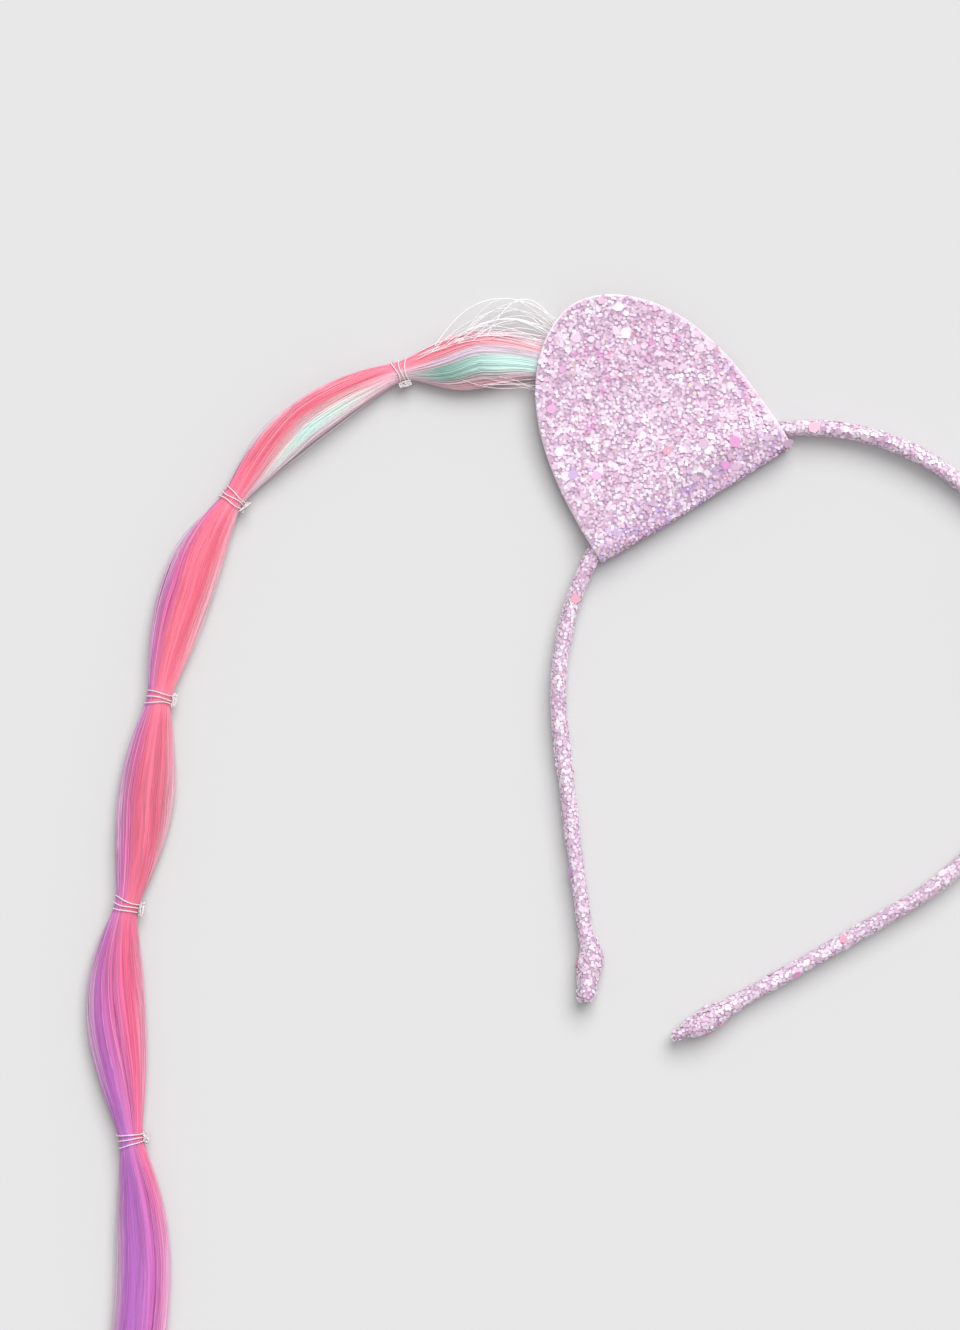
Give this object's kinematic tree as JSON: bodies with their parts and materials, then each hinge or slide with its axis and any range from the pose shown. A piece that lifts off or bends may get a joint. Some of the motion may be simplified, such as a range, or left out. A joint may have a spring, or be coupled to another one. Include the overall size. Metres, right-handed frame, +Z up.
{
  "type": "glitter ear headband",
  "caption": "Springy hoop headband wrapped in glitter fabric, with folded fabric ears and a long lock of coloured false hair, tied in swells, that comes from behind one ear.",
  "frame": {"origin": "middle of the object's footprint on the table that it lies on", "axes": "+Z up from the table; +Y from the headband's open ends to its crown; +X from the ear with the hair to the other ear"},
  "size_m": [0.238, 0.3022, 0.0089],
  "materials": {
    "glitter_band": "chunky glitter",
    "glitter_ear": "chunky glitter",
    "backing": "plain woven backing",
    "hair_pink": "satin fibre",
    "hair_mint": "satin fibre",
    "hair_pale": "satin fibre",
    "hair_purple": "satin fibre",
    "elastic": "clear gloss"
  },
  "bodies": {
    "root": {"band": "glitter_band", "end_cap_left": "glitter_band", "end_cap_right": "glitter_band", "left_ear": "glitter_ear", "right_ear": "glitter_ear", "hair_clasp": "backing", "pink_lock": "hair_pink", "mint_lock": "hair_mint", "pale_lock": "hair_pale", "purple_lock": "hair_purple", "elastic_1": "elastic", "elastic_2": "elastic", "elastic_3": "elastic", "elastic_4": "elastic", "elastic_5": "elastic"}
  },
  "joints": []
}
